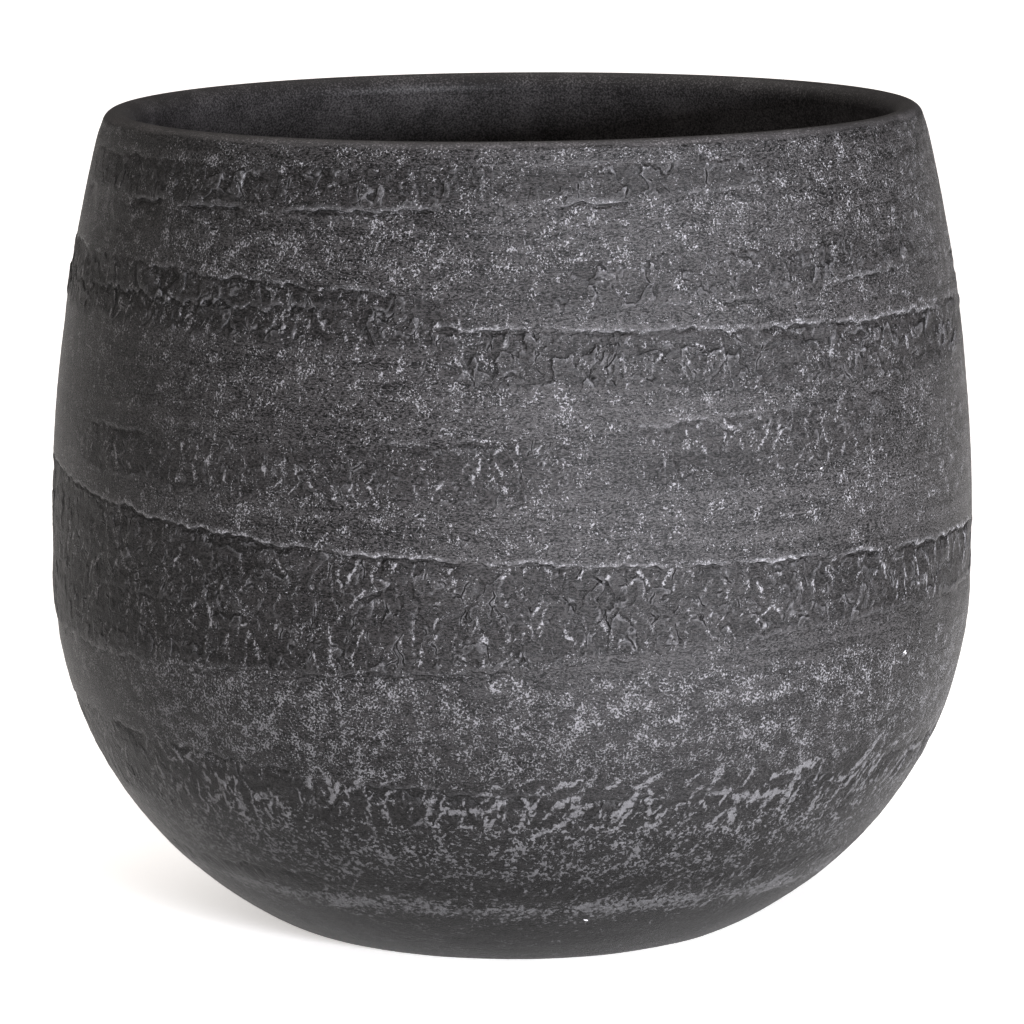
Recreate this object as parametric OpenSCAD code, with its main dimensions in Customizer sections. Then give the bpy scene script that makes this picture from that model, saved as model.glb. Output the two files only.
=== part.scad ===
// Round-bellied pot in dark stoneware: a floor slab, seven bevelled wall courses and a rolled rim coil,
// luted one on another and fired together.
// Millimetres, +Z up, origin at the centre of the foot on the ground.

/* [Overall] */
// Widest diameter, at the belly
body_d = 280; // [262:1:340]
// Height from the ground to the crest of the rim
pot_h = 248; // [200:1:310]
// Diameter across the crest of the rim
mouth_d = 240; // [190:1:248]
// Diameter of the flat face that the pot stands on
foot_d = 134; // [110:1:160]

/* [Belly] */
// Height at which the belly arc reaches the widest diameter
belly_z = 108; // [90:1:130]
// Height of the straight band between the belly arc and the shoulder arc
waist_h = 12; // [0:1:30]
// Radius of the rounding between the belly arc and the foot
foot_round = 12; // [4:1:18]

/* [Clay] */
// Thickness of the wall, square to its surface
wall_t = 9; // [7:0.5:11]
// Thickness of the floor
floor_t = 10; // [9:0.5:14]
// Radius of the outer half of the rolled lip
lip_r = 4; // [3:0.5:6]

/* [Courses] */
// Height of the rim coil, from its seam to the crest
rim_h = 18; // [14:1:24]
// Height of the seam above the lowest wall course
first_seam_z = 32; // [24:1:44]
// Height of the seam round the edge of the floor slab
slab_seam_z = 4; // [2.5:0.5:7]
// How much higher each bevelled seam lies inside the wall than outside it
bevel_rise = 7; // [3:0.5:9]

/* [Hidden] */
COURSES = 7;
$fn = 180;

arc_steps = 12; // straight steps along each course's outer or inner curve
round_steps = 12; // straight steps along the rounding at the foot and each half of the lip

clay_grey = "#3b3b3d";
slip_grey = "#4c4c4f";
glaze_black = "#262527";

body_r = body_d / 2;
mouth_r = mouth_d / 2;
foot_r = foot_d / 2;

// Radius of an arc that stands upright at the belly and runs on into a smaller arc of radius end_r,
// whose centre lies across_by inside the belly and up_by above or below it.
function bulge_r(across_by, up_by, end_r) = (across_by ^ 2 + up_by ^ 2 - end_r ^ 2) / (2 * (across_by - end_r));

belly_arc_r = bulge_r(body_r - foot_r, belly_z - foot_round, foot_round);
belly_arc_x = body_r - belly_arc_r;

shoulder_z = belly_z + waist_h;
shoulder_up = pot_h - lip_r - shoulder_z;
shoulder_arc_r = bulge_r(body_r - mouth_r, shoulder_up, lip_r);
shoulder_arc_x = body_r - shoulder_arc_r;

// The inner roll meets the crest and the inner face of the wall, so its radius follows from the wall.
crest_up = pot_h - shoulder_z;
inner_arc_r = shoulder_arc_r - wall_t;
inner_lip_r = ((mouth_r - shoulder_arc_x) ^ 2 + crest_up ^ 2 - inner_arc_r ^ 2) / (2 * (inner_arc_r + crest_up));

rim_seam_z = pot_h - rim_h;
course_h = (rim_seam_z - first_seam_z) / (COURSES - 1);

// Radius at height z of a surface that lies the distance inset inside the outer one.
function wall_r(z, inset) =
    z < belly_z ? belly_arc_x + sqrt((belly_arc_r - inset) ^ 2 - (belly_z - z) ^ 2)
    : z < shoulder_z ? body_r - inset
    : shoulder_arc_x + sqrt((shoulder_arc_r - inset) ^ 2 - (z - shoulder_z) ^ 2);

// Points along such a surface between two heights, in the order given.
function wall_curve(from_z, to_z, inset) =
    [for (i = [0 : arc_steps]) let (z = from_z + (to_z - from_z) * i / arc_steps) [wall_r(z, inset), z]];

// Points round a small arc in the section, in the order given.
function round_curve(centre, radius, from_angle, to_angle) =
    [for (i = [0 : round_steps]) let (a = from_angle + (to_angle - from_angle) * i / round_steps)
        [centre.x + radius * cos(a), centre.y + radius * sin(a)]];

// Outer height of the seam above course i, where 0 is the floor slab.
function seam_z(i) = i == 0 ? slab_seam_z : first_seam_z + (i - 1) * course_h;

// Inner height of the same seam. The lowest one ends at the edge of the floor.
function seam_inner_z(i) = i == 0 ? floor_t : seam_z(i) + bevel_rise;

// A flat disc with a rounded, bevelled edge.
module floor_slab() {
    foot_centre = [foot_r, foot_round];
    foot_lean = atan2(foot_round - belly_z, foot_r - belly_arc_x);
    foot_top_z = foot_round + foot_round * sin(foot_lean);
    color(clay_grey)
        rotate_extrude()
            polygon(concat(
                [[0, 0]],
                round_curve(foot_centre, foot_round, -90, foot_lean),
                wall_curve(foot_top_z, seam_z(0), 0),
                [[wall_r(seam_inner_z(0), wall_t), seam_inner_z(0)], [0, floor_t]]
            ));
}

// A strap of clay bent into a ring, bevelled on both edges so that it laps outside the one below.
module wall_course(i) {
    color(slip_grey)
        rotate_extrude()
            polygon(concat(
                wall_curve(seam_z(i - 1), seam_z(i), 0),
                wall_curve(seam_inner_z(i), seam_inner_z(i - 1), wall_t)
            ));
}

// The last coil, rolled over at the top into a rounded lip.
module rim_coil() {
    outer_centre = [mouth_r, pot_h - lip_r];
    inner_centre = [mouth_r, pot_h - inner_lip_r];
    outer_lean = atan2(shoulder_up, mouth_r - shoulder_arc_x);
    inner_lean = atan2(crest_up - inner_lip_r, mouth_r - shoulder_arc_x);
    outer_roll_z = outer_centre.y + lip_r * sin(outer_lean);
    inner_roll_z = inner_centre.y - inner_lip_r * sin(inner_lean);
    color(glaze_black)
        rotate_extrude()
            polygon(concat(
                wall_curve(seam_z(COURSES), outer_roll_z, 0),
                round_curve(outer_centre, lip_r, outer_lean, 90),
                round_curve(inner_centre, inner_lip_r, 90, 180 + inner_lean),
                wall_curve(inner_roll_z, seam_inner_z(COURSES), wall_t)
            ));
}

floor_slab();
for (i = [1 : COURSES]) {
    wall_course(i);
}
rim_coil();
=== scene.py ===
"""A round-bellied pot of bare black clay, torn and speckled outside, with a rolled, glazed lip.

The wall is one skin, worked out over the whole pot as height, grit, worn points and painted hollow shade
on a grid that runs round it and up its section. Each piece takes its own rows of that grid, so the seams
between pieces meet.
"""

import functools
import math
from collections import namedtuple

import bpy
import numpy as np
from bpy.props import FloatProperty, FloatVectorProperty, IntProperty, PointerProperty
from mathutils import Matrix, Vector


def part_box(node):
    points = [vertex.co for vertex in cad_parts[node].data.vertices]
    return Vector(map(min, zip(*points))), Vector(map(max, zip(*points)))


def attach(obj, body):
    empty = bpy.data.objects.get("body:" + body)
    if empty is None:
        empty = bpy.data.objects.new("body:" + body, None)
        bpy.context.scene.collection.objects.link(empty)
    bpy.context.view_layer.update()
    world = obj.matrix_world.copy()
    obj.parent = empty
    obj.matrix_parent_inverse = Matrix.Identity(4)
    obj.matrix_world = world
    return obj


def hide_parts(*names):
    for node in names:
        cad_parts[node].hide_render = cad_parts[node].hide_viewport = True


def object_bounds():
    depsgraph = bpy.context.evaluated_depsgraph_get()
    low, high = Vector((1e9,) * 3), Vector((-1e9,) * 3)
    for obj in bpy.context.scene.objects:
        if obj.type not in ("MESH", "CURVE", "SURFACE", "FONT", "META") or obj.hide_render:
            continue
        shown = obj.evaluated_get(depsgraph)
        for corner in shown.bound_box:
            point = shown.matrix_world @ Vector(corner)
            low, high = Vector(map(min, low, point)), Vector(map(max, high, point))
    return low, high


bl_info = {
    "name": "Torn Clay Pot",
    "version": (1, 0, 0),
    "blender": (4, 5, 0),
    "location": "3D View > Sidebar > Clay Pot",
    "description": "Builds a round-bellied pot of torn black clay and the stage that it stands on",
    "category": "Add Mesh",
}

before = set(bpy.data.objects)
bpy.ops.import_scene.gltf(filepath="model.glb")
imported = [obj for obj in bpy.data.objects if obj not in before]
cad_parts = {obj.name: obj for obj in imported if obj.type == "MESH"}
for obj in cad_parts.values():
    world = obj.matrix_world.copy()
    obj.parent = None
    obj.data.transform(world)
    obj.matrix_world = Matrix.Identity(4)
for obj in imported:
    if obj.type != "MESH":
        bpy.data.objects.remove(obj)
CAD_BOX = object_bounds()

MM = 0.001
COURSES = [f"wall_course_{i}" for i in range(1, len(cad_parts) - 1)]
RINGS = COURSES + ["rim_coil"]

# The widest diameter, which also sets how many cells of a pattern go round.
BELLY_WIDTH = 0.28
# A course has at most this many rows outside, and rows this far apart inside, so that its mesh stays
# under 200,000 triangles.
MOST_ROWS = 55
INNER_STEP = 8 * MM
# A ring's faces are laid out in this many strips for the bake.
BAKE_STRIPS = 6


# Sizes and finishes ---------------------------------------------------------------------------------


class PotSizes(bpy.types.PropertyGroup):
    """The pot's driving sizes, as its makers' drawing has them."""

    belly_width: FloatProperty(
        name="Belly width",
        description="Widest diameter of the pot",
        default=BELLY_WIDTH,
        unit="LENGTH",
    )
    height: FloatProperty(
        name="Height",
        description="From the ground to the crest of the rim",
        default=CAD_BOX[1][2],
        unit="LENGTH",
    )
    mouth_width: FloatProperty(
        name="Mouth width",
        description="Diameter across the crest of the rim",
        default=0.24,
        unit="LENGTH",
    )
    foot_width: FloatProperty(
        name="Foot width",
        description="Diameter of the flat face that the pot stands on",
        default=0.134,
        unit="LENGTH",
    )
    belly_height: FloatProperty(
        name="Belly height",
        description="Height at which the belly arc reaches the widest diameter",
        default=0.108,
        unit="LENGTH",
    )
    waist: FloatProperty(
        name="Waist",
        description="Height of the straight band between the belly and the shoulder",
        default=0.012,
        unit="LENGTH",
    )
    foot_round: FloatProperty(
        name="Foot rounding",
        description="Radius of the rounding between the belly and the foot",
        default=0.012,
        unit="LENGTH",
    )
    wall: FloatProperty(
        name="Wall",
        description="Thickness of the wall, square to its surface",
        default=0.009,
        unit="LENGTH",
    )
    lip_radius: FloatProperty(
        name="Lip radius",
        description="Radius of the outer half of the rolled lip",
        default=0.004,
        unit="LENGTH",
    )
    columns: IntProperty(
        name="Columns",
        description="Grid cells round the pot, a multiple of the bake's strips",
        default=1536,
    )
    row_step: FloatProperty(
        name="Row step",
        description="Height of a grid cell on the torn outer face",
        default=0.00059,
        unit="LENGTH",
    )
    rim_tilt: FloatProperty(
        name="Rim tilt",
        description="How far the rim rises at the right and sinks at the left",
        default=0.001,
        unit="LENGTH",
    )


class ClayFinish(bpy.types.PropertyGroup):
    """The colours of the bare clay, its rubbed slip and the glaze."""

    skin: FloatVectorProperty(
        name="Clay skin",
        description="Bare clay that the maker's tool has smoothed",
        subtype="COLOR",
        default=(0.026, 0.0245, 0.0247),
    )
    torn: FloatVectorProperty(
        name="Torn clay",
        description="Clay in the bands where the skin is torn away",
        subtype="COLOR",
        default=(0.016, 0.0148, 0.0148),
    )
    # The slip's colour also paints the highlights along broken edges, crack rims and band lips.
    slip: FloatVectorProperty(
        name="Rubbed slip",
        description="Pale slip left on grains, raised edges and streaks",
        subtype="COLOR",
        default=(0.255, 0.25, 0.258),
    )
    glaze: FloatVectorProperty(
        name="Glaze",
        description="Dark satin glaze on the lip and inside",
        subtype="COLOR",
        default=(0.11, 0.104, 0.105),
    )
    clay_roughness: FloatProperty(
        name="Clay roughness",
        description="Roughness of the bare clay",
        subtype="FACTOR",
        default=0.39,
    )
    glaze_roughness: FloatProperty(
        name="Glaze roughness",
        description="Roughness of the satin glaze",
        subtype="FACTOR",
        default=0.42,
    )


class StageLight(bpy.types.PropertyGroup):
    """The strengths of the studio's lights."""

    surround: FloatProperty(
        name="Surround",
        description="Brightness of the white room",
        default=0.15,
    )
    key: FloatProperty(
        name="Key",
        description="Power of the tall soft light at the right front",
        default=78.0,
        unit="POWER",
    )
    top: FloatProperty(
        name="Top",
        description="Strength of the wide soft light overhead",
        default=1.9,
    )
    glow: FloatProperty(
        name="Floor glow",
        description="Brightness that the white floor has of its own",
        default=0.6,
    )


# The pot's section ----------------------------------------------------------------------------------


def bulge(across, up, end):
    """Radius of an arc that stands upright at the belly and runs on into an arc of radius end, whose
    centre lies across and up from there: (across^2 + up^2 - end^2) / (2 (across - end))."""
    return (across**2 + up**2 - end**2) / (2 * (across - end))


def arc(centre, radius, start, stop):
    """200 points round part of a circle in the section, from one angle in radians to another."""
    angle = np.linspace(start, stop, 200)
    return np.stack(
        [centre[0] + radius * np.cos(angle), centre[1] + radius * np.sin(angle)], 1
    )


Section = namedtuple("Section", "run radius height edge crest lip_end")


def section(sizes):
    """The closed half section as one line: out along the foot, up the outer face, over the lip, down the
    inner face and in along the floor. run is the distance along it, edge the run at the foot's edge,
    crest at the top of the lip and lip_end where the inner roll meets the wall."""
    belly, mouth = sizes.belly_width / 2, sizes.mouth_width / 2
    foot, rounding = sizes.foot_width / 2, sizes.foot_round
    shoulder_z = sizes.belly_height + sizes.waist
    floor_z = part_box("floor_slab")[1][2]

    belly_arc = bulge(belly - foot, sizes.belly_height - rounding, rounding)
    belly_mid = (belly - belly_arc, sizes.belly_height)
    rise = sizes.height - sizes.lip_radius - shoulder_z
    shoulder_arc = bulge(belly - mouth, rise, sizes.lip_radius)
    shoulder_mid = (belly - shoulder_arc, shoulder_z)

    inner_arc = shoulder_arc - sizes.wall
    top, out = sizes.height - shoulder_z, mouth - shoulder_mid[0]
    inner_lip = (out**2 + top**2 - inner_arc**2) / (2 * (inner_arc + top))
    foot_lean = math.atan2(rounding - belly_mid[1], foot - belly_mid[0])
    outer_lean = math.atan2(rise, out)
    inner_lean = math.atan2(top - inner_lip, out)
    floor_lean = math.asin((belly_mid[1] - floor_z) / (belly_arc - sizes.wall))
    up, over = math.pi / 2, math.pi

    lines = [
        [(0, 0)],
        arc((foot, rounding), rounding, -up, foot_lean),
        arc(belly_mid, belly_arc, foot_lean, 0),
        arc(shoulder_mid, shoulder_arc, 0, outer_lean),
        arc((mouth, sizes.height - sizes.lip_radius), sizes.lip_radius, outer_lean, up),
        arc((mouth, sizes.height - inner_lip), inner_lip, up, over + inner_lean),
        arc(shoulder_mid, inner_arc, inner_lean, 0),
        arc(belly_mid, belly_arc - sizes.wall, 0, -floor_lean),
        [(0, floor_z)],
    ]
    ends = np.cumsum([len(line) for line in lines]) - 1
    points = np.concatenate(lines)
    run = np.r_[0, np.cumsum(np.hypot(*np.diff(points, axis=0).T))]
    return Section(run, *points.T, run[1], run[ends[4]], run[ends[5]])


def run_at(half, height, inside=False):
    """The run at which the outer face, or the inner one, stands at a height."""
    on = (half.run >= half.crest) if inside else (half.run >= half.edge) & (half.run <= half.crest)
    order = slice(None, None, -1) if inside else slice(None)
    return np.interp(height, half.height[on][order], half.run[on][order])


# The skin of the clay -------------------------------------------------------------------------------


def ease(x):
    """0 below 0, 1 above 1, and the smooth step 3x^2 - 2x^3 between."""
    x = np.clip(x, 0, 1)
    return x * x * (3 - 2 * x)


# Rows of cells kept below the first point, for neighbours and for points that are pushed about.
SPARE_ROWS = 8


def cell_grid(turn, run, width, length):
    """Which cell of a grid wrapped round the pot each point is in, and where in the cell it is. A whole
    number of cells goes round, each about width wide at the belly, and cells are length tall."""
    around = round(math.pi * BELLY_WIDTH / width)
    u = turn / (2 * math.pi) * around
    v = run / length + SPARE_ROWS
    return around, np.floor(u).astype(int), np.floor(v).astype(int), u, v


def grain(turn, run, width, length, seed):
    """Smooth noise of about -1 to 1. Each corner of a wrapped grid has a random slope, and each cell
    blends its four corners' slopes by the quintic curve 6t^5 - 15t^4 + 10t^3."""
    around, i, j, u, v = cell_grid(turn, run, width, length)
    lean = np.random.default_rng(seed).uniform(0, 2 * math.pi, (around, int(j.max()) + 2))
    u, v = u - i, v - j
    blend_u, blend_v = (t**3 * (t * (t * 6 - 15) + 10) for t in (u, v))

    def corner(di, dj):
        """A corner's slope carried to the point: cos(a) u + sin(a) v from that corner."""
        slope = lean[(i + di) % around, j + dj]
        return np.cos(slope) * (u - di) + np.sin(slope) * (v - dj)

    low = corner(0, 0) + blend_u * (corner(1, 0) - corner(0, 0))
    high = corner(0, 1) + blend_u * (corner(1, 1) - corner(0, 1))
    return 1.6 * (low + blend_v * (high - low))


def cloud(turn, run, width, length, seed, layers=3):
    """Layers of grain, each half as large and half as strong as the one before."""
    return sum(
        grain(turn, run, width / 2**k, length / 2**k, seed + k) / 2**k for k in range(layers)
    )


# A distance in millimetres that is longer than any that matters on the skin.
FAR = 9.0


def chips(turn, run, width, length, seed, slim, lean, spread):
    """A field of thin chips, one to a cell, each over or under its neighbours. Returns the distance in
    millimetres to the broken edge of the uppermost chip, negative off every chip, and how far that chip
    is lifted there, from 0 to 1.

    A chip is a bent ellipse as long as its cell and slim times as wide, turned by lean give or take
    spread degrees. It lies flush at one end and rises towards the other."""
    around, i, j, u, v = cell_grid(turn, run, width, length)
    table = np.random.default_rng(seed).uniform(0, 1, (6, around, int(j.max()) + 3))
    edge = np.full(u.shape, -FAR)
    rise = np.zeros(u.shape)
    order = np.zeros(u.shape)
    for di in (-1, 0, 1):
        for dj in (-1, 0, 1):
            at_u, at_v, tilt, size, lift, bend = table[:, (i + di) % around, j + dj]
            x = (u - i - di - 0.25 - 0.5 * at_u) * width
            y = (v - j - dj - 0.25 - 0.5 * at_v) * length
            tilt = np.radians(lean + spread * (2 * tilt - 1))
            reach = max(width, length) * (0.4 + 0.5 * size)
            along = (x * np.cos(tilt) + y * np.sin(tilt)) / reach
            aside = (y * np.cos(tilt) - x * np.sin(tilt)) / reach / slim
            aside = aside + (bend - 0.5) * along**2 * 1.6
            inside = (1 - np.sqrt(along**2 + aside**2)) * reach * slim / MM
            above = ((inside > 0) & (lift > order)) | ((inside > edge) & (edge < 0))
            edge = np.where(above, inside, edge)
            rise = np.where(above, (0.5 + 0.5 * along) * (0.35 + 0.65 * lift), rise)
            order = np.where(above & (inside > 0), lift, order)
    return edge, np.clip(rise, 0, 1)


def softened(field, reach):
    """The mean of a field over the cells within reach each way."""
    span = 2 * reach + 1
    around = sum(np.roll(field, k, axis=1) for k in range(-reach, reach + 1)) / span
    padded = np.pad(around, ((reach, reach), (0, 0)), mode="edge")
    return sum(padded[k : k + len(field)] for k in range(span)) / span


# A band's edge is a line round the pot: its mean height in millimetres, how far it swings and the
# bearing in degrees where it is highest, the same for its second, twice-a-turn swing, and how ragged
# it is. Bearings count to the right from the front.
Edge = namedtuple("Edge", "mean swing at second second_at ragged")

# A torn band lies between two edges in one or more spans, each a middle bearing and a half width.
# drop is how far its skin is torn down under the top edge, foot_drop how far it stands over the clay
# below it, chips and streaks how strongly it is chipped and streaked, and dark how dark it is.
Band = namedtuple("Band", "top low spans drop foot_drop chips streaks dark")

COLLAR = Band(
    Edge(240.5, 1.0, 60, 0.5, 20, 0.6),
    Edge(231.0, 3.5, 90, 1.0, 66, 0.5),
    ((-20, 62), (150, 55)),
    0.25, 0.8, 1.1, 0.2, 1.0,
)
HIGH_LEFT = Band(
    Edge(207.5, 3.0, -115, 0.8, -72, 0.8),
    Edge(189.0, 1.5, -100, 1.0, -44, 1.0),
    ((-50, 52), (120, 45)),
    0.5, 0.0, 1.2, 0.5, 1.0,
)
HIGH_RIGHT = Band(
    Edge(212.0, 2.5, 33, 2.0, 32, 1.5),
    Edge(203.5, 3.5, 120, 2.0, 85, 0.5),
    ((33, 36), (-150, 50)),
    0.2, 0.6, 1.1, 0.2, 0.7,
)
UPPER = Band(
    Edge(195.0, 1.7, -65, 1.0, -21, 0.8),
    Edge(181.5, 4.5, -100, 2.5, -53, 1.0),
    ((35, 52), (-125, 40)),
    0.6, 0.0, 1.3, 0.3, 0.9,
)
MIDDLE = Band(
    Edge(166.5, 5.5, 80, 2.0, 60, 1.2),
    Edge(151.0, 3.5, 110, 2.5, 64, 1.5),
    ((-30, 42), (33, 26), (170, 60)),
    0.35, 0.0, 0.6, 0.45, 0.85,
)
WAIST = Band(
    Edge(135.0, 11.0, -110, 2.5, 45, 0.6),
    Edge(101.5, 6.0, 91, 2.0, 42, 1.0),
    ((0, 200),),
    0.8, 0.35, 0.8, 0.45, 1.0,
)
LOWER = Band(
    Edge(67.5, 4.5, -125, 2.5, -71, 1.2),
    Edge(50.0, 2.0, 60, 1.5, 20, 2.0),
    ((0, 200),),
    0.45, 0.0, 0.5, 1.0, 0.6,
)
BOTTOM = Band(
    Edge(32.0, 1.0, 40, 0.8, 0, 1.0),
    Edge(26.0, 1.0, -40, 0.8, 50, 1.5),
    ((0, 200),),
    0.3, 0.0, 0.2, 0.6, 0.6,
)
BANDS = (COLLAR, HIGH_LEFT, HIGH_RIGHT, UPPER, MIDDLE, WAIST, LOWER, BOTTOM)

# Ledges that cross a torn band: an edge, its spans and its drop.
LEDGES = (
    (Edge(199.0, 1.5, -60, 1.0, 0, 2.2), ((-45, 30), (125, 30)), 0.6),
    (Edge(113.5, 1.0, -60, 0.5, 0, 1.5), ((-45, 22), (160, 40)), 0.3),
)


# How many millimetres below a ledge the clay comes most of the way back, under a band's top edge,
# under its low edge and under a ledge that crosses it.
TOP_REACH, FOOT_REACH, CROSS_REACH = 12.0, 7.0, 8.0


def edge_height(edge, turn, seed):
    """The edge's height in millimetres at each bearing: its mean, its two cosine swings and a ragged
    part of long, middling and short grain."""
    line = edge.mean + edge.swing * np.cos(turn - math.radians(edge.at))
    line = line + edge.second * np.cos(2 * (turn - math.radians(edge.second_at)))
    wave = 0.9 * grain(turn, 0 * turn + 1.3 * MM, 16 * MM, 5 * MM, seed)
    bite = 0.8 * grain(turn, 0 * turn + 1.7 * MM, 5 * MM, 5 * MM, seed + 1)
    nick = 0.4 * grain(turn, 0 * turn + 2.1 * MM, 2.1 * MM, 5 * MM, seed + 2)
    return line + edge.ragged * (wave + bite + nick)


def in_spans(spans, turn):
    """1 inside a band's spans and 0 outside, eased over 14 degrees."""
    fade = 14
    bearing = np.degrees(turn)
    nearest = [half - np.abs((bearing - middle + 180) % 360 - 180) for middle, half in spans]
    return ease(np.max(nearest, axis=0) / fade)


Pressed = namedtuple("Pressed", "stand torn chips streaks rub edge drop")


def pressed(turn, run, height):
    """The torn bands: how far the clay stands in or out, in millimetres, how torn, chipped and streaked
    it is, how pale the lip over each band's top edge is, partly rubbed slip and partly painted highlight,
    and the distance below the nearest ledge with that ledge's drop, in millimetres.

    Below a line, a ledge drops at once and comes back slowly: drop exp(-depth / reach). Its drop grows
    and fades along the line with noise, so it is broken. A band is torn between its two lines, eased in
    over a millimetre or two at each."""
    ragged = 0.7
    height = height + ragged * cloud(turn, run, 5 * MM, 4 * MM, 90, 2)
    stand = np.zeros(np.broadcast(turn, height).shape)
    torn, chipped, streaked, rubbed, drop_here = (np.zeros_like(stand) for _ in range(5))
    nearest = np.full_like(stand, FAR)
    broken = 0.5 + 0.5 * cloud(turn, run, 18 * MM, 12 * MM, 71, 2)
    loose = 0.06 * grain(turn, run, 20 * MM, 12 * MM, 91)

    def ledge(line, drop, reach):
        """Lets the clay drop under a line, eased in over 0.8 mm, and notes the nearest line so far."""
        nonlocal stand, nearest, drop_here
        depth = line - height
        stand = stand - drop * ease(depth / 0.8 + 0.5) * np.exp(-np.clip(depth, 0, None) / reach)
        closer = np.abs(depth) < np.abs(nearest)
        nearest = np.where(closer, depth, nearest)
        drop_here = np.where(closer, drop * ease(1.3 - np.abs(depth)), drop_here)

    for number, band in enumerate(BANDS):
        top = edge_height(band.top, turn, 100 + 20 * number)
        low = edge_height(band.low, turn, 110 + 20 * number)
        there = in_spans(band.spans, turn + loose)
        inside = ease((top - height) / 1.2) * ease((height - low) / 2.5) * there
        strength = there * np.clip(band.drop + 3.0 * (broken - 0.5) + 0.12, 0.05, 1.15)
        ledge(top, band.drop * strength, TOP_REACH)
        ledge(low, band.foot_drop * strength, FOOT_REACH)
        torn = np.maximum(torn, inside * band.dark)
        chipped = np.maximum(chipped, inside * band.chips)
        streaked = np.maximum(streaked, inside * band.streaks)
        # A pale line just over each band's top edge: partly rubbed slip, partly painted highlight on the
        # edge.
        lip = np.exp(-(((height - top - 0.4) / 0.7) ** 2)) * band.drop * strength
        rubbed = np.maximum(rubbed, 0.38 * lip)
    for number, (edge, spans, drop) in enumerate(LEDGES):
        line = edge_height(edge, turn, 400 + 20 * number)
        ledge(line, drop * in_spans(spans, turn + loose), CROSS_REACH)
    return Pressed(stand, np.clip(torn, 0, 1), chipped, streaked, rubbed, nearest, drop_here)


# How densely pale grains and brush strokes lie, from 0 to 1, at heights in millimetres. Grains are
# dense from 70 to 98 and from 33 to 50, fair on the smoothed clay above, and thin near the foot.
GRIT_AT = (0, 18, 24, 30, 36, 49, 54, 66, 72, 96, 101, 125, 140, 165, 178, 205, 215, 228, 240, 246)
GRIT = (0.2, 0.3, 0.75, 0.3, 0.75, 0.7, 0.45, 0.4, 0.66, 0.6)
GRIT += (0.25, 0.2, 0.4, 0.38, 0.45, 0.4, 0.5, 0.45, 0.45, 0.45)
STROKES_AT = (18, 22, 26, 32, 46, 52, 66, 74)
STROKES = (0, 1, 1, 0.1, 0.1, 0.8, 0.8, 0)


def grit_share(height, patchy):
    """How densely pale grains lie, from 0 to 1: the share at this height in millimetres, and a little
    more or less in patches."""
    return np.clip(np.interp(height, GRIT_AT, GRIT) + 0.22 * (patchy - 0.5), 0, 1)


Skin = namedtuple("Skin", "run lift torn wear grit rub glaze chip_edge chip_rise ledge_edge ledge_drop")


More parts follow.
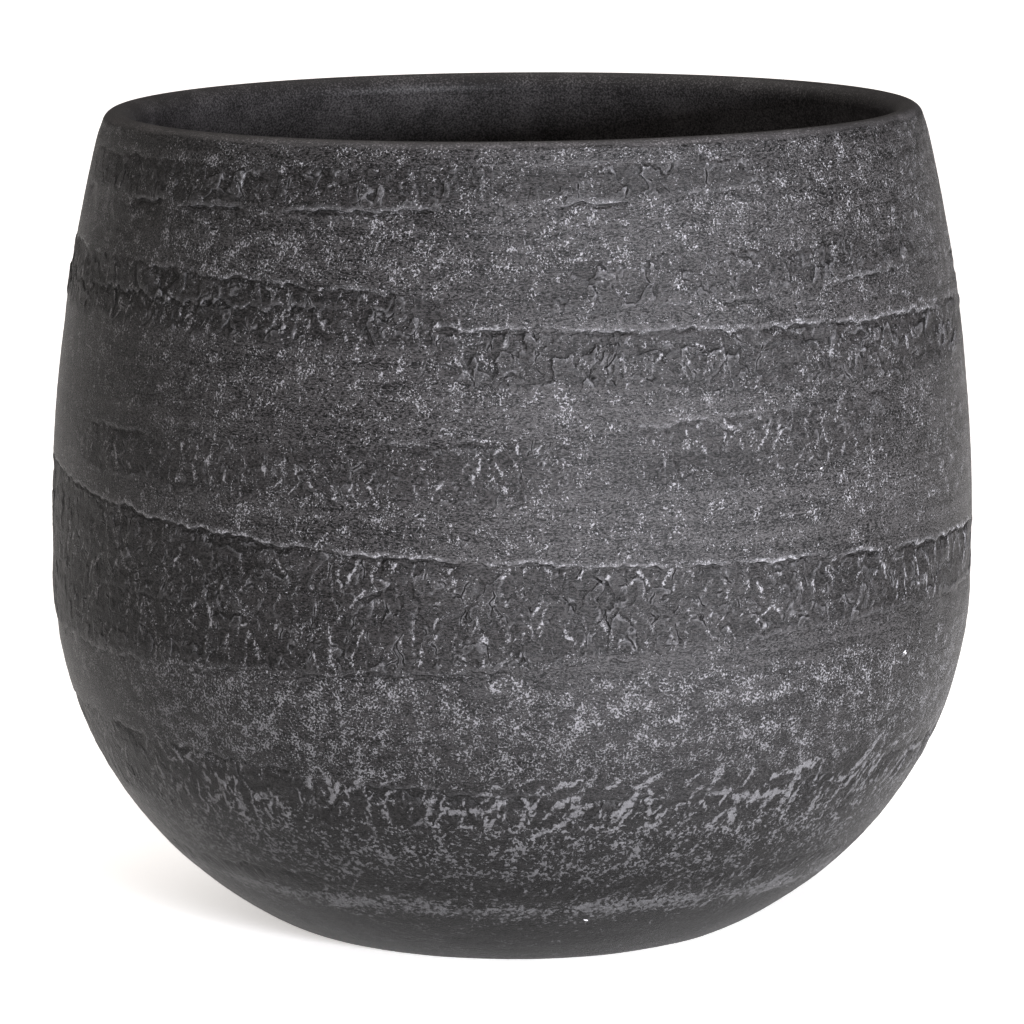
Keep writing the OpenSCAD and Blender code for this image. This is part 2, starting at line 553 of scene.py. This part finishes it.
@functools.lru_cache
def pot_skin(columns, runs, height_of_crest, crest):
    """The outer skin over the whole pot, from the foot's edge to the end of the lip: a grid of one row
    per run and one column per bearing, with its lift in metres and its finish.

    Lift in millimetres is an even 0.3, plus how the torn bands stand, plus the uppermost chip's rise,
    eased in over 0.7 at its edge, plus raised streaks, fine grain, slow swells and level turning marks.
    It fades to nothing on the lip and at the foot. wear is how far a point stands over the
    mean of the cells round it, which the shader paints paler on raised points as wear and darker in
    hollows as painted shade. rub is the strongest of lips, streaks, strokes and smears, where the
    pale lip over each band's top edge is partly rubbed slip and partly painted highlight, and the glaze
    begins at a wavy line a little under the crest."""
    turn = pot_turns(columns)[None, :]
    run = np.array(runs)[:, None]
    half = section(bpy.context.scene.pot_sizes)
    outer = np.interp(run, half.run, half.height)
    height = np.where(run < crest, outer, height_of_crest + run - crest) / MM

    clay = pressed(turn, run, height)
    patchy = 0.5 + 0.5 * cloud(turn, run, 26 * MM, 14 * MM, 70)
    push = 1.0 * MM
    warp_u = turn + push * cloud(turn, run, 4 * MM, 4 * MM, 11, 2) / (BELLY_WIDTH / 2)
    warp_v = run + push * cloud(turn, run, 4 * MM, 4 * MM, 21, 2)
    large, large_rise = chips(warp_u, warp_v, 13 * MM, 11 * MM, 31, 0.4, 120, 40)
    small, small_rise = chips(warp_u, warp_v, 9 * MM, 8 * MM, 32, 0.32, 50, 45)
    streak, _ = chips(warp_u, warp_v, 6 * MM, 6 * MM, 33, 0.1, 85, 45)
    stroke, _ = chips(warp_u, warp_v, 10 * MM, 8 * MM, 34, 0.14, 50, 50)
    bare = large < 0
    over = (small > 0) & ((small_rise > large_rise) | bare) | (small > large) & bare
    chip_edge = np.where(over, small, large)
    gathered = np.clip(0.65 + 0.8 * cloud(turn, run, 24 * MM, 10 * MM, 72, 2), 0.2, 1.1)
    chip_rise = np.where(over, small_rise, large_rise) * np.clip(clay.chips, 0, 1.3) * gathered

    fine = cloud(turn, run, 2.6 * MM, 2.2 * MM, 41, 2)
    slow = grain(turn, run, 60 * MM, 30 * MM, 51) + 0.5 * grain(turn, run, 24 * MM, 16 * MM, 52)
    turned = grain(turn, run, 200 * MM, 3.2 * MM, 53)
    ridge = ease(streak / 0.5 + 0.5) * clay.streaks
    right_side = np.clip(patchy + 0.35 * np.cos(turn - 1.0), 0, 1)
    strokes = ease(stroke / 0.6 + 0.5) * np.interp(height, STROKES_AT, STROKES) * right_side
    smear_height, smear_width = 24.0, 2.2
    smeared = np.exp(-(((height - smear_height) / smear_width) ** 2))
    smeared = 0.8 * smeared * np.clip(2.2 * patchy - 0.4, 0, 1)
    lift = 0.3 + clay.stand + 0.55 * chip_rise * ease(chip_edge / 0.7 + 0.5) + 0.1 * ridge
    lift = lift + fine * (0.03 + 0.05 * clay.torn) + 0.22 * slow + 0.03 * turned * (1 - clay.torn)

    plain_below_crest, plain_fade, foot_fade = 8, 6, 9 * MM
    plain = ease((height - height_of_crest / MM + plain_below_crest) / plain_fade)
    foot = ease((run - half.edge) / foot_fade)
    lift = lift * (1 - plain) * foot
    # How far a point stands over the cells round it; the shader paints raised points paler as wear and
    # hollows darker as painted shade.
    wear = np.clip((lift - softened(lift, 2)) / 0.3, -1, 1)
    line = height_of_crest / MM - 1.6 + 0.5 * grain(turn, run, 16 * MM, 30 * MM, 61)
    glaze = ease((height - line) / 0.5 + 0.5)
    # Rubbed slip from streaks, strokes and smears, and the band lips, which are partly painted highlight.
    rub = np.maximum(clay.rub + ridge * np.clip(1.5 * patchy, 0, 1), np.maximum(strokes, smeared))
    rub = np.clip(rub, 0, 1)
    grit = grit_share(height, patchy) * (1 - 0.4 * clay.torn) * (1 - glaze)
    chip_near, ledge_near = (np.clip(edge, -2, 2) for edge in (chip_edge, clay.edge))
    chip_rise, ledge_drop = (part * (1 - plain) for part in (chip_rise, clay.drop))
    fields = (clay.torn, wear, grit, rub, glaze, chip_near, chip_rise, ledge_near, ledge_drop)
    return Skin(run[:, 0], lift * MM, *(np.broadcast_to(x, lift.shape) for x in fields))


FIELDS = Skin._fields[2:]


def pot_turns(columns):
    """The bearing of each column in radians, to the right from the front."""
    return np.arange(columns) / columns * 2 * math.pi


def inside_lift(turn, run):
    """Soft hollows and swells of the inner face, a quarter of a millimetre deep, from grain 40 mm
    across."""
    depth, across = 0.25 * MM, 40 * MM
    return depth * grain(turn, run, across, across, 80)


def around_axis(turn, radius, height, sizes):
    """Points at a radius and height on each bearing, where the front faces -Y. The rim tilts a little
    and the wall is a little out of round, both growing from nothing at the foot."""
    share = height / sizes.height
    high = ease(share)
    height = height + sizes.rim_tilt * np.sin(turn) * ease((share - 0.6) / 0.4)
    oval = 0.4 * MM * np.cos(2 * turn + 0.7) + 0.3 * MM * np.cos(3 * turn + 2.0)
    radius = radius + oval * high
    return np.stack(
        np.broadcast_arrays(radius * np.sin(turn), -radius * np.cos(turn), height), -1
    )


def skin_rows(sizes):
    """The runs of the whole skin's rows, and for each seam the number of the row that lies on it."""
    half = section(sizes)
    seams = [run_at(half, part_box(node)[0][2]) for node in RINGS]
    stops = [half.edge, *seams, half.crest, half.lip_end]
    counts = [
        min(max(2, round((b - a) / sizes.row_step)), MOST_ROWS) for a, b in zip(stops, stops[1:])
    ]
    runs = np.concatenate(
        [np.linspace(a, b, n, endpoint=False) for a, b, n in zip(stops, stops[1:], counts)]
        + [[half.lip_end]]
    )
    return half, runs, np.cumsum([0] + counts)


def skin_of(sizes):
    """The section, the whole skin and its seam rows for these sizes."""
    half, runs, seams = skin_rows(sizes)
    return half, pot_skin(sizes.columns, tuple(runs), sizes.height, half.crest), seams


def piece_grid(sizes, skin_from, skin_to, inner_runs, outer_runs=()):
    """One piece's closed grid: plain rows at outer_runs, the skin's rows from one number to another,
    and plain rows at inner_runs. Each row is the section's point moved along its normal by the lift."""
    half, skin, _ = skin_of(sizes)
    turn = pot_turns(sizes.columns)[None, :]
    before, after = (np.array(runs, float)[:, None] for runs in (outer_runs, inner_runs))
    rows = slice(skin_from, skin_to + 1)
    run = np.concatenate([before, skin.run[rows, None], after])
    flat = np.zeros((len(before), sizes.columns))
    lip = ease((skin.run[rows, None] - half.crest) / (half.lip_end - half.crest))
    lift = np.concatenate([
        flat,
        skin.lift[rows] + lip * inside_lift(turn, skin.run[rows, None]),
        inside_lift(turn, after) if len(after) else np.zeros((0, sizes.columns)),
    ])
    step = 0.1 * MM
    radius, height = (np.interp(run, half.run, line) for line in (half.radius, half.height))
    along = [
        np.interp(run + step, half.run, line) - np.interp(run - step, half.run, line)
        for line in (half.radius, half.height)
    ]
    length = np.hypot(*along)
    place = around_axis(
        turn, radius + lift * along[1] / length, height - lift * along[0] / length, sizes
    )

    def field(values, under, within):
        """The skin's values, with an even value on the plain rows before it and after it."""
        ends = [np.full((len(part), sizes.columns), value)
                for part, value in ((before, under), (after, within))]
        return np.concatenate([ends[0], values[rows], ends[1]])

    plain = {"grit": (0.1, 0), "glaze": (0, 1), "chip_edge": (-2, -2), "ledge_edge": (-2, -2)}
    fields = {name: field(getattr(skin, name), *plain.get(name, (0, 0))) for name in FIELDS}
    return place, fields


# Meshes ---------------------------------------------------------------------------------------------


def grid_mesh(name, place, fields, ring, sharp_rows):
    """A closed mesh from rows of points round the axis. Each cell is a face that looks outwards. A ring's
    last row joins its first. Otherwise the first and last rows close on a point of the axis."""
    rows, columns = place.shape[:2]
    number = np.arange(rows * columns).reshape(rows, columns)
    low = number if ring else number[:-1]
    high = np.roll(number, -1, axis=0) if ring else number[1:]
    cells = np.stack([low, np.roll(low, -1, 1), np.roll(high, -1, 1), high], -1).reshape(-1, 4)
    points, corners = place.reshape(-1, 3), cells.ravel()
    starts = np.arange(len(cells)) * 4
    if not ring:
        poles = place[[0, -1]].mean(axis=1) * [0, 0, 1]
        first, last = number[0], number[-1]
        under = np.stack([np.full(columns, len(points)), np.roll(first, -1), first], -1)
        over = np.stack([last, np.roll(last, -1), np.full(columns, len(points) + 1)], -1)
        fans = np.concatenate([under, over])
        starts = np.r_[starts, len(corners) + 3 * np.arange(len(fans))]
        corners = np.r_[corners, fans.ravel()]
        points = np.concatenate([points, poles])
    mesh = bpy.data.meshes.new(name)
    mesh.vertices.add(len(points))
    mesh.vertices.foreach_set("co", points.astype(np.float32).ravel())
    mesh.loops.add(len(corners))
    mesh.loops.foreach_set("vertex_index", corners.astype(np.int32))
    mesh.polygons.add(len(starts))
    mesh.polygons.foreach_set("loop_start", starts.astype(np.int32))
    mesh.update(calc_edges=True)
    mesh.shade_smooth()

    ends = np.empty(2 * len(mesh.edges), np.int32)
    mesh.edges.foreach_get("vertices", ends)
    row = (ends // columns).reshape(-1, 2)
    sharp = (row[:, 0] == row[:, 1]) & np.isin(row[:, 0], sharp_rows)
    layer = mesh.attributes.new("sharp_edge", "BOOLEAN", "EDGE")
    layer.data.foreach_set("value", sharp)
    for field, values in fields.items():
        ends = [] if ring else values[[0, -1], 0]
        layer = mesh.attributes.new(field, "FLOAT", "POINT")
        layer.data.foreach_set("value", np.r_[values.ravel(), ends].astype(np.float32))
    if mesh.validate():
        raise ValueError(f"{name} had broken faces")
    return mesh


def strip_map(mesh, place, strips):
    """Lays a ring's faces out in strips, one above another, for the bake: across a strip goes part of
    the way round the pot, and up it goes the section, by its length on the pot."""
    rows, columns = place.shape[:2]
    each = columns // strips
    edge = 0.004  # the gap round a strip, as a share of the map
    steps = np.linalg.norm(np.roll(place[:, 0], -1, axis=0) - place[:, 0], axis=1)
    steps = np.minimum(steps, 3 * np.median(steps))
    up = np.r_[0, np.cumsum(steps)] / steps.sum()
    row, column = np.divmod(np.arange(rows * columns), columns)
    strip, start = np.divmod(column, each)
    u = edge + (1 - 2 * edge) * np.stack([start, start + 1, start + 1, start], -1) / each
    v = np.stack([up[row], up[row], up[row + 1], up[row + 1]], -1)
    v = (strip[:, None] + edge * strips / 2 + (1 - edge * strips) * v) / strips
    layer = mesh.uv_layers.new(name="OFBake", do_init=False)
    layer.uv.foreach_set("vector", np.stack([u, v], -1).astype(np.float32).ravel())


def add_piece(name, mesh, node, material):
    """Puts a finished mesh in the scene in place of its CAD node."""
    piece = bpy.data.objects.new(name, mesh)
    bpy.context.scene.collection.objects.link(piece)
    mesh.materials.append(material)
    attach(piece, "root")
    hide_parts(node)


def add_ring(node, sizes, material):
    """A wall course or the rim coil: the skin's rows between its two seams, and the inner face between
    the same seams' inner ends."""
    half, _, seams = skin_of(sizes)
    at = RINGS.index(node)
    is_rim = node == RINGS[-1]
    below = COURSES[at - 1] if at else "floor_slab"
    low_inner = run_at(half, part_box(below)[1][2], inside=True)
    high_inner = half.lip_end if is_rim else run_at(half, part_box(node)[1][2], inside=True)
    first = seams[at + 1]
    last = seams[-1] if is_rim else seams[at + 2]
    count = max(3, round((low_inner - high_inner) / INNER_STEP) + 1)
    inner = np.linspace(high_inner, low_inner, count)
    if is_rim:
        inner = inner[1:]
    place, fields = piece_grid(sizes, first, last, inner)
    outer = last - first
    sharp = [0, len(place) - 1] + ([] if is_rim else [outer, outer + 1])
    mesh = grid_mesh(f"clay_{node}", place, fields, True, sharp)
    strip_map(mesh, place, BAKE_STRIPS)
    add_piece(f"clay_{node}", mesh, node, material)


# Materials ------------------------------------------------------------------------------------------


class Wire:
    """One output socket in a material, with arithmetic that adds Math nodes."""

    def __init__(self, tree, socket=None):
        self.tree = tree
        self.socket = socket

    def node(self, kind, settings=None, sockets=None, output=0):
        """Adds a node, gives it its settings and then its sockets' values or links, and returns one of
        its outputs."""
        node = self.tree.nodes.new(kind)
        for name, value in (settings or {}).items():
            setattr(node, name, value)
        for name, value in (sockets or {}).items():
            if isinstance(value, Wire):
                self.tree.links.new(value.socket, node.inputs[name])
            else:
                node.inputs[name].default_value = value
        return None if output is None else Wire(self.tree, node.outputs[output])

    def math(self, operation, *terms):
        """Adds a Math node for these terms."""
        return self.node("ShaderNodeMath", {"operation": operation}, dict(enumerate(terms)))

    def __add__(self, other):
        return self.math("ADD", self, other)

    def __sub__(self, other):
        return self.math("SUBTRACT", self, other)

    def __rsub__(self, other):
        return self.math("SUBTRACT", other, self)

    def __mul__(self, other):
        return self.math("MULTIPLY", self, other)

    __radd__ = __add__
    __rmul__ = __mul__

    def held(self):
        """The value kept from 0 to 1."""
        return self.node("ShaderNodeClamp", {}, {"Value": self})

    def noise(self, scale, detail, rough):
        """Blender's noise at these coordinates, with its largest swells 1 / scale metres apart."""
        sockets = {"Vector": self, "Scale": scale, "Detail": detail, "Roughness": rough}
        return self.node("ShaderNodeTexNoise", {}, sockets)

    def scaled(self, level, upright):
        """These coordinates scaled in the level directions and upwards."""
        return self.node("ShaderNodeMapping", {}, {"Vector": self, "Scale": (level, level, upright)})

    def warped(self, scale, reach):
        """These coordinates pushed about by noise, as far as half of reach each way."""
        sockets = {"Vector": self, "Scale": scale, "Detail": 3.0}
        push = self.node("ShaderNodeTexNoise", {}, sockets, output=1)
        sockets = {0: push, 1: (reach, reach, reach), 2: self}
        return self.node("ShaderNodeVectorMath", {"operation": "MULTIPLY_ADD"}, sockets)

    def edges(self):
        """The distance to the nearest edge between Voronoi cells at these coordinates."""
        sockets = {"Vector": self, "Scale": 1.0}
        return self.node("ShaderNodeTexVoronoi", {"feature": "DISTANCE_TO_EDGE"}, sockets)

    def mixed(self, under, over):
        """One colour over another, by this value as the factor."""
        sockets = {0: self, 6: under, 7: over}
        return self.node("ShaderNodeMix", {"data_type": "RGBA"}, sockets, output=2)


def broken_edge(edge, rise, speck):
    """A crisp broken edge where the edge distance, in millimetres, passes 0: how high its clay stands,
    and how much of its two sides shows, the near side of the high clay and the foot of the low, which
    the caller paints as a highlight on one side and a shadow on the other."""
    edge = edge + 0.7 * (speck - 0.5)
    high = (edge * 4.0 + 0.5).held()
    near = (1.0 - edge * 3.0).held() * high
    foot = (1.0 + edge * 2.6).held() * (1 - high)
    strength = (rise * 2.2 - 0.35).held()
    return high * rise, near * strength, foot * strength


# The noises of the clay: how many of their largest swells lie in a metre, their layers and how strong
# each layer is beside the one before. Low down the grains are coarse.
Noise = namedtuple("Noise", "scale layers rough")
FINE = Noise(1700.0, 3.0, 0.65)
COARSE = Noise(900.0, 3.0, 0.65)
CLUSTER = Noise(240.0, 3.0, 0.6)
BLOT = Noise(420.0, 3.0, 0.6)
MOTTLE = Noise(60.0, 4.0, 0.6)
TORN_OPEN = Noise(260.0, 2.0, 0.5)
FEW = Noise(31.0, 0.0, 0.5)
# These two are stretched: so many swells in a metre along the level, and so many upwards.
FIBRE_STRETCH, FIBRE = (1100.0, 2400.0), Noise(1.0, 3.0, 0.75)
DRAG_STRETCH, DRAG = (14.0, 480.0), Noise(1.0, 3.0, 0.65)
CRACK_STRETCH = (120.0, 75.0)

# The darkest and brightest shares of each finish's colour.
SKIN_RANGE, TORN_RANGE, GLAZE_RANGE = (0.05, 1.95), (0.15, 1.9), (0.35, 1.7)
# Shares of the torn clay's colour for the painted shade towards the bottom and for the painted shadow in
# hollows, cracks and along broken edges, and of the slip's colour for the pale flecks.
BOTTOM_PAINTED_SHADE, PAINTED_SHADOW_SHARE, FLECK_SHADE = 0.25, 0.3, 2.0
SPECULAR_LEVEL = 0.22


def clay_material(name, finish):
    """Bare clay with pale grains, worn edges, streaks and, where the glaze mask says so, dark glaze, with
    painted shade and painted highlights on it.

    Grains show where fine noise, raised a little by a coarser one, passes a level that falls as the
    grit mask rises. Smears show where the rub mask, broken up by blots and grains, is
    high. Cracks follow the edges of Voronoi cells on the torn clay, where another noise opens them, each
    painted as a dark line of shade with a pale rim of painted highlight. The skin's tone is mottle, fibre
    and level drag marks. Its pale parts are sums of these, the raised points of the skin's wear and
    painted highlights along the cracks and the chips' and ledges' broken edges. Its dark parts are
    painted shade in the skin's hollows and the cracks, and painted shadow along the broken edges. It is
    also painted darker towards the bottom, as painted shade."""
    material = bpy.data.materials.new(name)
    material.use_nodes = True
    tree = material.node_tree
    tree.nodes.clear()
    wire = Wire(tree)
    where = wire.node("ShaderNodeTexCoord", output="Object")

    def mask(field):
        """One of the skin's fields, read from the mesh."""
        return wire.node("ShaderNodeAttribute", {"attribute_name": field}, output=2)

    torn, wear, grit, rub, glaze = (mask(f) for f in ("torn", "wear", "grit", "rub", "glaze"))
    height = wire.node("ShaderNodeSeparateXYZ", {}, {"Vector": where}, output=2)
    # Painted shade towards the bottom: 1 up to about 38 mm, gone by 115 mm.
    low = (1.5 - height * 13.0).held()
    coarse = (5.4 - height * 80.0).held()
    crest = (height * 110.0 - 26.4).held()

    fine_speck = where.noise(*FINE)
    speck = fine_speck + coarse * (where.noise(*COARSE) - fine_speck)
    cluster = where.noise(*CLUSTER)
    blot = where.noise(*BLOT)
    fibre = where.scaled(*FIBRE_STRETCH).noise(*FIBRE)
    drag = where.scaled(*DRAG_STRETCH).noise(*DRAG)
    mottle = where.noise(*MOTTLE)

    level = 0.66 - 0.2 * grit
    grains = ((speck + 0.5 * (cluster - 0.5) - level - 0.015) * 16.0).held()
    smear = ((rub + 3.0 * (blot - 0.58) + 4.0 * (speck - 0.5)) * 2.2).held() * (rub * 3.0).held()
    tone = (0.5 + 0.8 * (mottle - 0.5) + 6.5 * (fibre - 0.5) + 1.2 * (drag - 0.5)).held()
    crack = where.warped(160.0, 0.007).scaled(*CRACK_STRETCH).edges()
    open_here = ((where.noise(*TORN_OPEN) - 0.54) * 14.0).held() * torn
    # Painted shade along the open cracks.
    crack_shade = (1.0 - crack * 22.0).held() * open_here
    # A pale rim of painted highlight beside each crack.
    crack_highlight = (1.0 - crack * 9.0).held() * open_here - crack_shade
    # Each broken edge is painted with a highlight on one side and a shadow on the other: the shadow falls
    # at the foot of a lifted chip and just under the overhanging skin at a ledge.
    chip_relief, chip_highlight, chip_shadow = broken_edge(mask("chip_edge"), mask("chip_rise"), speck)
    ledge_relief, ledge_shadow, ledge_highlight = broken_edge(mask("ledge_edge"), mask("ledge_drop"), speck)
    # Pale slip on grains, smears and raised points, plus painted highlights along broken edges and crack
    # rims.
    pale = grains * 0.8 + smear * 0.75 + wear * 0.2 + 0.5 * chip_highlight + 0.35 * ledge_highlight + 0.4 * crack_highlight
    # Painted shadow along the broken edges, and painted shade in the cracks and in the skin's hollows.
    dark = (1.4 * chip_shadow + 1.2 * ledge_shadow - wear * 0.5 + crack_shade).held()

    skin = tone.mixed(*(shade(finish.skin, share) for share in SKIN_RANGE))
    colour = torn.mixed(skin, tone.mixed(*(shade(finish.torn, share) for share in TORN_RANGE)))
    # Painted shade: the clay is painted darker towards the bottom, and its pale slip dimmer there.
    colour = (low * 0.8).mixed(colour, shade(finish.torn, BOTTOM_PAINTED_SHADE))
    colour = (pale.held() * (0.9 - 0.62 * low)).mixed(colour, shade(finish.slip))
    # The painted shadow and shade mixed in, as a darker share of the torn clay.
    colour = (dark * 0.85).mixed(colour, shade(finish.torn, PAINTED_SHADOW_SHARE))
    spot = where.node("ShaderNodeTexVoronoi", {}, {"Vector": where.warped(700.0, 0.003), "Scale": 60.0})
    few = ((where.noise(*FEW) - 0.7) * 30.0).held()
    fleck = ((0.06 - spot) * 60.0).held() * few * (1 - glaze)
    colour = fleck.mixed(colour, shade(finish.slip, FLECK_SHADE))
    shine = (0.4 + 1.2 * (mottle - 0.5) + 3.5 * (fine_speck - 0.5) - 0.5 * crest).held()
    colour = glaze.mixed(colour, shine.mixed(*(shade(finish.glaze, share) for share in GLAZE_RANGE)))

    dull = finish.clay_roughness + 0.06 * torn + 0.1 * (fibre - 0.5)
    satin = finish.glaze_roughness + 0.12 * (mottle - 0.5)
    relief = (0.32 * fibre + 0.12 * grains) * (1 - 0.9 * glaze) + 0.1 * glaze * fine_speck
    relief = relief + 0.5 * chip_relief - 0.45 * ledge_relief + 0.15 * crack_highlight - 0.3 * crack_shade
    surface = {
        "Base Color": colour,
        "Roughness": dull + glaze * (satin - dull),
        "Normal": wire.node("ShaderNodeBump", {}, {"Distance": MM, "Height": relief}),
        "Specular IOR Level": SPECULAR_LEVEL,
    }
    shader = wire.node("ShaderNodeBsdfPrincipled", {}, surface)
    wire.node("ShaderNodeOutputMaterial", {}, {"Surface": shader}, output=None)
    return material


def shade(colour, strength=1.0):
    """A colour at a share of its brightness, with full alpha."""
    return (*(strength * part for part in colour), 1.0)


WARM_WHITE, COOL_WHITE = (1.0, 0.96, 0.93), (0.93, 0.945, 1.0)


def studio_white(glow):
    """An even, matte white that gives off a little light of its own, for the stage."""
    material = bpy.data.materials.new("studio_white")
    material.use_nodes = True
    inputs = material.node_tree.nodes["Principled BSDF"].inputs
    inputs["Base Color"].default_value = (0.86, 0.86, 0.86, 1)
    inputs["Roughness"].default_value = 0.9
    inputs["Emission Color"].default_value = (1.0, 0.975, 0.955, 1)
    inputs["Emission Strength"].default_value = glow
    return material


def black_clay(finish):
    """The bare clay, made once and then shared."""
    return bpy.data.materials.get("torn_clay") or clay_material("torn_clay", finish)


# Operators ------------------------------------------------------------------------------------------


class CLAYPOT_OT_floor(bpy.types.Operator):
    """Build the floor slab, with its foot and the inner floor"""

    bl_idname = "claypot.floor"
    bl_label = "Floor Slab"

    def execute(self, context):
        sizes = context.scene.pot_sizes
        half, _, seams = skin_of(sizes)
        seam_inner = run_at(half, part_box("floor_slab")[1][2], inside=True)
        under = np.linspace(0, half.edge, 6)[1:-1]
        over = np.linspace(seam_inner, half.run[-1], 6)[:-1]
        place, fields = piece_grid(sizes, 0, seams[1], over, under)
        seam_row = len(under) + seams[1]
        sharp = [seam_row, seam_row + 1]
        mesh = grid_mesh("clay_floor_slab", place, fields, False, sharp)
        material = black_clay(context.scene.clay_finish)
        add_piece("clay_floor_slab", mesh, "floor_slab", material)
        return {"FINISHED"}


class CLAYPOT_OT_courses(bpy.types.Operator):
    """Build the wall courses, one on another"""

    bl_idname = "claypot.courses"
    bl_label = "Wall Courses"

    def execute(self, context):
        material = black_clay(context.scene.clay_finish)
        for node in COURSES:
            add_ring(node, context.scene.pot_sizes, material)
        return {"FINISHED"}


class CLAYPOT_OT_rim(bpy.types.Operator):
    """Build the rim coil with its rolled lip"""

    bl_idname = "claypot.rim"
    bl_label = "Rim Coil"

    def execute(self, context):
        material = clay_material("glazed_lip", context.scene.clay_finish)
        add_ring("rim_coil", context.scene.pot_sizes, material)
        return {"FINISHED"}


class CLAYPOT_OT_stage(bpy.types.Operator):
    """Lay the pale floor and set the soft lights and the camera"""

    bl_idname = "claypot.stage"
    bl_label = "Stage"

    def execute(self, context):
        scene, light = context.scene, context.scene.stage_light
        sides, reach = 64, 8
        turn = pot_turns(sides)
        rim = np.stack([reach * np.sin(turn), -reach * np.cos(turn), 0 * turn], 1)
        mesh = bpy.data.meshes.new("studio_floor")
        mesh.from_pydata(rim, [], [list(range(sides))])
        mesh.materials.append(studio_white(light.glow))
        floor = bpy.data.objects.new("studio_floor", mesh)
        scene.collection.objects.link(floor)

        world = bpy.data.worlds.new("white_room")
        world.use_nodes = True
        sky = world.node_tree.nodes["Background"]
        sky.inputs["Color"].default_value = (*WARM_WHITE, 1)
        sky.inputs["Strength"].default_value = light.surround
        scene.world = world
        scene.view_settings.view_transform = "Standard"
        scene.view_settings.gamma = 0.83

        key = bpy.data.lights.new("key_light", "AREA")
        key.shape = "RECTANGLE"
        key.size, key.size_y = 0.2, 0.4
        key.energy = light.key
        key.color = COOL_WHITE
        top = bpy.data.lights.new("top_light", "SUN")
        top.angle = math.radians(100)
        top.energy = light.top
        top.color = WARM_WHITE
        place = Vector((0.8, -1.35, 0.2))
        self.hang(key, place, place - Vector((0, 0, 0.5 * scene.pot_sizes.height)))
        self.hang(top, Vector((0, 0, 2)), Vector((-0.3, 0, 1)))

        eye, aim = Vector((0, -1.591, 0.3855)), Vector((0, 0, 0.1232))
        camera = bpy.data.objects.new("camera", bpy.data.cameras.new("camera"))
        camera.data.lens = 185.3
        camera.data.sensor_width = 36.0
        camera.data.clip_start = 0.05
        camera.location = eye
        camera.rotation_euler = (aim - eye).to_track_quat("-Z", "Y").to_euler()
        scene.collection.objects.link(camera)
        scene.camera = camera
        return {"FINISHED"}

    def hang(self, lamp, place, back):
        """Puts a light in its place, with its back to a direction."""
        holder = bpy.data.objects.new(lamp.name, lamp)
        holder.location = place
        holder.rotation_euler = back.to_track_quat("Z", "Y").to_euler()
        bpy.context.scene.collection.objects.link(holder)


class CLAYPOT_PT_panel(bpy.types.Panel):
    """The sidebar panel, with a button for each group of pieces"""

    bl_idname = "CLAYPOT_PT_panel"
    bl_label = "Clay Pot"
    bl_space_type = "VIEW_3D"
    bl_region_type = "UI"
    bl_category = "Clay Pot"

    def draw(self, context):
        for step in STEPS:
            self.layout.operator(step.bl_idname)


STEPS = (CLAYPOT_OT_floor, CLAYPOT_OT_courses, CLAYPOT_OT_rim, CLAYPOT_OT_stage)
GROUPS = {"pot_sizes": PotSizes, "clay_finish": ClayFinish, "stage_light": StageLight}
CLASSES = (*GROUPS.values(), *STEPS, CLAYPOT_PT_panel)


def register():
    """Adds the classes, and the groups of settings to every scene."""
    for cls in CLASSES:
        bpy.utils.register_class(cls)
    for name, group in GROUPS.items():
        setattr(bpy.types.Scene, name, PointerProperty(type=group))


def unregister():
    """Takes the settings and the classes away again."""
    for name in GROUPS:
        delattr(bpy.types.Scene, name)
    for cls in reversed(CLASSES):
        bpy.utils.unregister_class(cls)


def main():
    """Builds every piece and the stage."""
    register()
    bpy.ops.claypot.floor()
    bpy.ops.claypot.courses()
    bpy.ops.claypot.rim()
    bpy.ops.claypot.stage()


if __name__ == "__main__":
    main()
